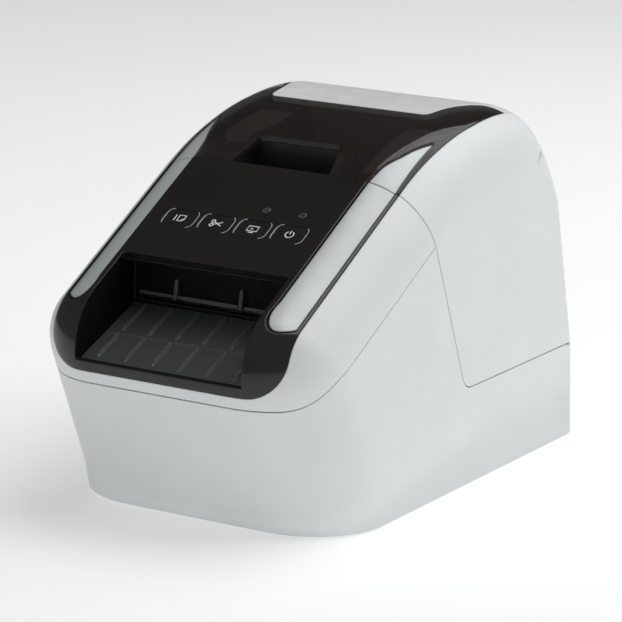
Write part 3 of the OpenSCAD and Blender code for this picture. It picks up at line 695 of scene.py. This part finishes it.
def lower_body():
    shell = both(skin(), lower_region())
    shell = plus(shell, *[hinge_rod(KNUCKLE_R, s, a, a + 4) for s in (1, -1) for a in (24.2, 35.8)])
    cuts = two(lambda s: hinge_rod(KNUCKLE_ROOM_R, s, 28.2, 35.8)) + pin_bores()
    cuts.append(prism(rounded(17.6, 11.6, 1.5, 6, (49, 15)), "y", 90, FAR))
    cuts.append(prism(rounded(12.6, 11.4, 0.6, 4, (-20, 15.4)), "y", 90, FAR))
    return minus(shell, *cuts)


def panel_cut(grow):
    """The dark front's outline, seen from the front, grown by the given amount."""
    w, low, r = PANEL_W + grow, PANEL_LOW - grow, PANEL_R + grow
    pts = [(w, FAR), (-w, FAR)]
    pts += [(-w + r - r * math.cos(math.radians(a)), low + r - r * math.sin(math.radians(a)))
            for a in range(0, 91, 6)]
    pts += [(w - r + r * math.sin(math.radians(a)), low + r - r * math.cos(math.radians(a)))
            for a in range(0, 91, 6)]
    return prism(pts, "y", -FAR, 0)


TRIM_TOE = [(38.9, 90), (38.5, 87.4), (39.6, 84.9), (41.6, 82.9), (44, 82), (47, 81.9), (49.6, 82.2)]
TRIM_FRONT = [(38.9, FAR), (38.9, 92)] + spline(TRIM_TOE) + [(49.6, FAR)]
# Depth and outlines of the brown patches under the window: painted light where the inner walls are lit.
LIT_PATCH_FROM = 5.5
LIT_PATCH_TO = 6.3
LIT_PATCH_SHAPES = (
    [(28.5, 25), (44, 25), (42, 15), (37, 6), (36, -10), (29.4, -13)],
    [(-38.5, 25), (-24, 24.5), (-24, 11.5), (-29, 2.5), (-28, -4), (-35, -5.5), (-41, 2), (-40, 14)],
)
TRIM_TIP = [(39.1, -22), (40.3, -14), (42.8, -7.2), (45.2, 1), (47.7, 8.4)]
TRIM_LID = [(38.9, -60), (39.05, -26)] + spline(TRIM_TIP) + [(48.2, 8.4), (49.6, -24), (49.6, -60)]
WINDOW_REAR = spline([
    (48.6, 58.1), (46.2, 57.2), (43.8, 55.2), (41.7, 51.5), (38.9, 43.5), (37.2, 37), (36.3, 31),
    (35.4, 27.2), (33.5, 25.5),
], 4)
WINDOW_SIDE = [(51, -60), (51, 59.3)] + WINDOW_REAR
RECESS = [
    (24.8, -60), (21.5, -22.3), (18.8, -10.2), (18.7, -9.4), (18.2, -8.3), (17.2, -7.4), (15.8, -7),
]


def front_frame():
    return minus(both(skin(), front_region()), panel_cut(LINE))


def tray_z(y):
    (y0, z0), (y1, z1) = TRAY_FOOT, TRAY_HEAD
    return z0 + (y - y0) * (z1 - z0) / (y1 - y0)


def tray_low(y):
    return tray_z(y) - TRAY_SINK


def mirrored(points):
    """A closed outline from its right half."""
    return points + list(reversed(flip(points)))


def trim_pocket():
    """The front trim's outline with a thin gap round it."""
    edge = []
    for x, z in TRIM_FRONT:
        dx = -0.25 if x < 42 else 0.15 if x > 49 else 0
        edge.append((x + dx, z - 0.25 if z < 89 else z))
    return edge


def tray_linings():
    """Walls and floor edges of the label catcher's recess."""
    parts = []
    for s in (1, -1):
        wall = prism([(-104, tray_low(-104)), (-FAR, FAR), (-65, FAR), (-65, tray_low(-67))], "x",
                     *span(s, TRAY_HALF, TRAY_HALF + TRAY_WALL))
        parts.append(both(wall, envelope(LINING_DEPTH)))
        ledge = [(-101.5, tray_low(-101.5)), (-101.5, tray_low(-101.5) + TRAY_FLOOR_T),
                 (-67, tray_low(-67) + TRAY_FLOOR_T), (-67, tray_low(-67))]
        parts.append(prism(ledge, "x", *span(s, TRAY_HALF - TRAY_WALL, TRAY_HALF + 0.1)))
    return parts


def cross_linings():
    """The recess's rear wall, the bridge over the exit and the wall at the lid seam."""
    rear = box((-37.2, -67, tray_low(-67)), (37.2, -65, FAR))
    bridge = prism([(-74.0, 94), (-74.0, FAR), (-66, FAR), (-66, 91)], "x", -36.7, 36.7)
    seam = prism([(lid_seam_y(z, s), z) for s, z in ((-2.3, 106), (-2.3, FAR), (-0.3, FAR), (-0.3, 106))],
                 "x", -38.2, 38.2)
    return [both(part, envelope(LINING_DEPTH)) for part in (rear, bridge, seam)]


def front_panel():
    base = both(skin(), front_region(), panel_cut(PANEL_EDGE))
    mouth = [(-TRAY_HALF, 62), (TRAY_HALF, 62), (TRAY_HALF, FAR), (-TRAY_HALF, FAR)]
    base = minus(base, prism(mouth, "y", -FAR, -74.3))
    pocket = trim_pocket()
    base = minus(base, prism(pocket, "y", -FAR, 0), prism(flip(pocket), "y", -FAR, 0))
    base = plus(base, *tray_linings(), *cross_linings())
    cuts = [box((-33, -80, 77.4), (33, -60, 79.7))]
    for x in BUTTON_X:
        cuts.append(on_slope(prism(rounded(14.0, 10.2, 3.7), "z", -4, 4), x, BUTTON_Y))
    for x in LED_X:
        cuts.append(on_slope(prism(circle(1.38, n=32), "z", -4, 4), x, LED_Y))
    return minus(base, *cuts)


def sunk_skin():
    return minus(envelope(TRIM_STEP), envelope(WALL))


def front_trim(s):
    pts = TRIM_FRONT if s > 0 else flip(TRIM_FRONT)
    return both(sunk_skin(), front_region(), prism(pts, "y", -FAR, 0))


def lid_shell():
    shell = both(skin(), lid_region())
    shell = minus(shell, box((-PANEL_W - LINE, -FAR, 62), (PANEL_W + LINE, FAR, FAR)))
    notches = [hinge_rod(KNUCKLE_ROOM_R, s, a, a + 4.4) for s in (1, -1) for a in (24.0, 35.6)]
    shell = minus(shell, *notches)
    shell = plus(shell, *two(lambda s: hinge_rod(KNUCKLE_R, s, 28.4, 35.6)))
    return minus(shell, *pin_bores())


def top_skin():
    half = PANEL_W + PANEL_EDGE
    return both(skin(), lid_region(), box((-half, -FAR, SPLIT_Z), (half, FAR, FAR)))


def lid_cover():
    right = [(FAR, FAR), (FAR, 61.2), (52.6, 61.2)] + [(x, y + GAP) for x, y in WINDOW_REAR]
    return both(top_skin(), prism(mirrored(right), "z", 0, FAR))


def lid_window():
    piece = both(top_skin(), prism(mirrored(WINDOW_SIDE), "z", 0, FAR))
    wide = [(x - 0.3 if x < 48 else x + 0.15, y + 0.3 if y > 8 else y) for x, y in TRIM_LID]
    piece = minus(piece, prism(wide, "z", 0, FAR), prism(flip(wide), "z", 0, FAR))
    return minus(piece, prism(mirrored(RECESS), "z", 0, FAR))


def lid_trim(s):
    return both(sunk_skin(), lid_region(), prism(TRIM_LID if s > 0 else flip(TRIM_LID), "z", 0, FAR))


def lid_liner():
    """Brown patches under the smoked window: painted light, standing for the inner walls lit through it."""
    sheet = minus(envelope(LIT_PATCH_FROM), envelope(LIT_PATCH_TO))
    return both(sheet, join([prism(pts, "z", 100, FAR) for pts in LIT_PATCH_SHAPES]))


def button_cap():
    cap = prism(rounded(13.4, 9.6, 2.9, 14), "z", -2.65, -0.12)
    flange = prism(rounded(15, 11.2, 4.2), "z", -3.4, -2.6)
    stem = prism(circle(1.5, n=32), "z", -6.3, -3)
    return plus(cap, flange, stem)


def stroke(points, w, z0=MARK_FOOT, z1=MARK_TOP, closed=False):
    """A printed line of width w through the points, as a thin solid."""
    n = len(points)
    left, right = [], []
    for i, p in enumerate(points):
        a = points[i - 1] if closed or i > 0 else p
        b = points[(i + 1) % n] if closed or i < n - 1 else p
        t = Vector((b[0] - a[0], b[1] - a[1])).normalized()
        left.append((p[0] - t.y * w / 2, p[1] + t.x * w / 2))
        right.append((p[0] + t.y * w / 2, p[1] - t.x * w / 2))
    verts = [(x, y, z1) for x, y in left + right] + [(x, y, z0) for x, y in left + right]
    faces = []
    spans = n if closed else n - 1
    for i in range(spans):
        j = (i + 1) % n
        faces += [[i, j, n + j, n + i], [2 * n + i, 3 * n + i, 3 * n + j, 2 * n + j],
                  [i, 2 * n + i, 2 * n + j, j], [n + i, n + j, 3 * n + j, 3 * n + i]]
    if not closed:
        faces += [[0, n, 3 * n, 2 * n], [n - 1, 3 * n - 1, 4 * n - 1, 2 * n - 1]]
    return raw("stroke", verts, faces)


def bow_points(r, a, b, n, c=(0, 0)):
    """Points on a circle from angle a to angle b."""
    return [(c[0] + r * math.cos(math.radians(a + (b - a) * i / n)),
             c[1] + r * math.sin(math.radians(a + (b - a) * i / n))) for i in range(n + 1)]


def icon(kind):
    """The strokes of a button's mark; the feed button's is the last one."""
    w = 0.42
    if kind == "power":
        return [stroke(bow_points(1.7, 125, 415, 26), w), stroke([(0, 0.1), (0, 2.1)], w)]
    if kind == "cut":
        return [stroke([(-1.1, 0.75), (2.4, -1.1)], w),
                stroke([(-1.1, -0.75), (2.4, 1.1)], w, MARK_FOOT, MARK_TOP + 0.005),
                stroke(bow_points(0.72, 0, 342, 18, (-1.75, 1.05)), w, closed=True),
                stroke(bow_points(0.72, 0, 342, 18, (-1.75, -1.05)), w, closed=True)]
    if kind == "mode":
        return [stroke([(-2.2, 1.5), (-2.2, -1.2), (2.2, -1.2), (2.2, 1.5)], w, closed=True),
                stroke([(-1.1, -2.0), (1.1, -2.0)], w), stroke([(-1.0, 0.15), (0.1, 0.15)], w)]
    return [stroke([(-0.9, 1.6), (-0.9, -1.6), (0.9, -1.6), (1.9, -0.6), (1.9, 1.6)], w, closed=True),
            stroke([(-2.3, 1.6), (-2.3, -1.6)], w),
            stroke([(0.8, -1.5), (0.8, -0.5), (1.8, -0.5)], w * 0.8)]


def rim_highlight_arcs():
    """Two lighter arcs round a button's hole, at its left and right ends: a painted highlight on the hole's
    rim.
    """
    loop = rounded(13.75, 9.95, 2.95)
    return join([stroke(arc_points, 0.26, -0.3, 0.04) for arc_points in (loop[13:27], loop[35:] + loop[:7])])


def join(parts):
    base = parts[0]
    bm = bmesh.new()
    for part in parts:
        bm.from_mesh(part.data)
    bm.to_mesh(base.data)
    bm.free()
    for part in parts[1:]:
        bpy.data.objects.remove(part, do_unlink=True)
    return base


finish_piece(lower_body(), "lower_body_shell", "base", HOUSING, ["lower_body"])
finish_piece(front_frame(), "front_frame_shell", "base", HOUSING, ["front_frame"])
# The panel's faces under its outer form get the darker recess black: painted shade in the recess and holes.
finish_piece(front_panel(), "front_panel_shell", "base", PANEL, ["front_panel"],
             inner=RECESS_SHADE_BLACK)
finish_piece(front_trim(-1), "front_trim_l", "base", TRIM, ["front_trim_left"])
finish_piece(front_trim(1), "front_trim_r", "base", TRIM, ["front_trim_right"])
finish_piece(lid_shell(), "lid_side_shell", "lid", HOUSING, ["lid_shell"])
finish_piece(lid_cover(), "lid_cover_skin", "lid", COVER, ["lid_cover"])
finish_piece(lid_window(), "lid_window_pane", "lid", WINDOW, ["lid_window"])
# Painted light: brown patches under the window, for the inner walls lit through it.
finish_piece(lid_liner(), "lid_liner", "lid", PAINTED_LIGHT_BROWN)
finish_piece(lid_trim(-1), "lid_trim_l", "lid", TRIM, ["lid_trim_left"])
finish_piece(lid_trim(1), "lid_trim_r", "lid", TRIM, ["lid_trim_right"])

for x, key in zip(BUTTON_X, ("feed", "cut", "mode", "power")):
    body = f"button_{key}"
    cap = on_slope(button_cap(), x, BUTTON_Y)
    finish_piece(cap, f"{body}_cap", body, BUTTON, [body], False)
    mark = on_slope(join(icon(key)), x, BUTTON_Y)
    finish_piece(mark, f"{body}_icon", body, PRINT, (), False)
    # Painted highlight: lighter arcs on the rim of each button's hole.
    ends = on_slope(rim_highlight_arcs(), x, BUTTON_Y)
    finish_piece(ends, f"{body}_outline", "base", BUTTON_RIM_HIGHLIGHT, (), False)

bpy.data.objects.remove(FORM, do_unlink=True)


# ---------------------------------------------------------------- stage, light and camera
FLOOR_HALF = 3000
FLOOR_Z = -0.02
VIEW_AZIMUTH = 31.174
VIEW_ELEVATION = 14.026
VIEW_ROLL = 0.958
VIEW_AIM = (0.75, -0.17, 63.87)
VIEW_DISTANCE = 1.3164
LENS = 196.8


def backdrop():
    signs = ((-1, -1), (1, -1), (1, 1), (-1, 1))
    corners = [(sx * FLOOR_HALF, sy * FLOOR_HALF, FLOOR_Z) for sx, sy in signs]
    floor = raw("floor", corners, [[0, 1, 2, 3]])
    floor.data.transform(Matrix.Scale(SCALE, 4))
    n = Nodes("floor_pale")
    colour = n.colours(n.noise(3.0), [(0.3, (0.80, 0.80, 0.80)), (0.7, (0.82, 0.82, 0.82))])
    floor.data.materials.append(n.shader(colour, 0.9, Emission_Color=(1, 1, 1, 1), Emission_Strength=0.34))


def area(name, place, target, size, power):
    data = bpy.data.lights.new(name, "AREA")
    data.energy = power
    data.size = size
    lamp = bpy.data.objects.new(name, data)
    lamp.location = place
    lamp.rotation_euler = (Vector(target) - Vector(place)).to_track_quat("-Z", "Y").to_euler()
    bpy.context.scene.collection.objects.link(lamp)


def studio_world():
    """A dim room, darker towards the back left, where the glossy top faces look."""
    world = bpy.data.worlds.new("studio")
    world.use_nodes = True
    tree = world.node_tree
    coord = tree.nodes.new("ShaderNodeTexCoord")
    dot = tree.nodes.new("ShaderNodeVectorMath")
    dot.operation = "DOT_PRODUCT"
    dot.inputs[1].default_value = (-0.47, 0.78, 0.41)
    level = tree.nodes.new("ShaderNodeMapRange")
    for key, value in (("From Min", 0.1), ("From Max", 0.9), ("To Min", 0.30), ("To Max", 0.07)):
        level.inputs[key].default_value = value
    tree.links.new(coord.outputs["Generated"], dot.inputs[0])
    tree.links.new(dot.outputs["Value"], level.inputs["Value"])
    tree.links.new(level.outputs["Result"], tree.nodes["Background"].inputs["Strength"])
    tree.nodes["Background"].inputs["Color"].default_value = (0.98, 0.99, 1, 1)
    bpy.context.scene.world = world


backdrop()
studio_world()
bpy.context.scene.view_settings.view_transform = "Standard"
area("key", (0.40, 0.45, 1.15), (0, 0, 0.08), 1.3, 13.2)


def camera():
    az, el, roll = (math.radians(angle) for angle in (VIEW_AZIMUTH, VIEW_ELEVATION, VIEW_ROLL))
    back = Vector((math.sin(az) * math.cos(el), -math.cos(az) * math.cos(el), math.sin(el)))
    right = Vector((math.cos(az), math.sin(az), 0))
    up = back.cross(right)
    turned_right = right * math.cos(roll) + up * math.sin(roll)
    turned_up = up * math.cos(roll) - right * math.sin(roll)
    aim = Vector(VIEW_AIM) * SCALE
    data = bpy.data.cameras.new("camera")
    data.lens = LENS
    data.sensor_width = 36
    data.clip_end = 20
    cam = bpy.data.objects.new("camera", data)
    place = Matrix((turned_right, turned_up, back)).transposed().to_4x4()
    place.translation = aim + back * VIEW_DISTANCE
    cam.matrix_world = place
    bpy.context.scene.collection.objects.link(cam)
    bpy.context.scene.camera = cam


camera()
for scratch in [m for m in bpy.data.meshes if m.users == 0]:
    bpy.data.meshes.remove(scratch)
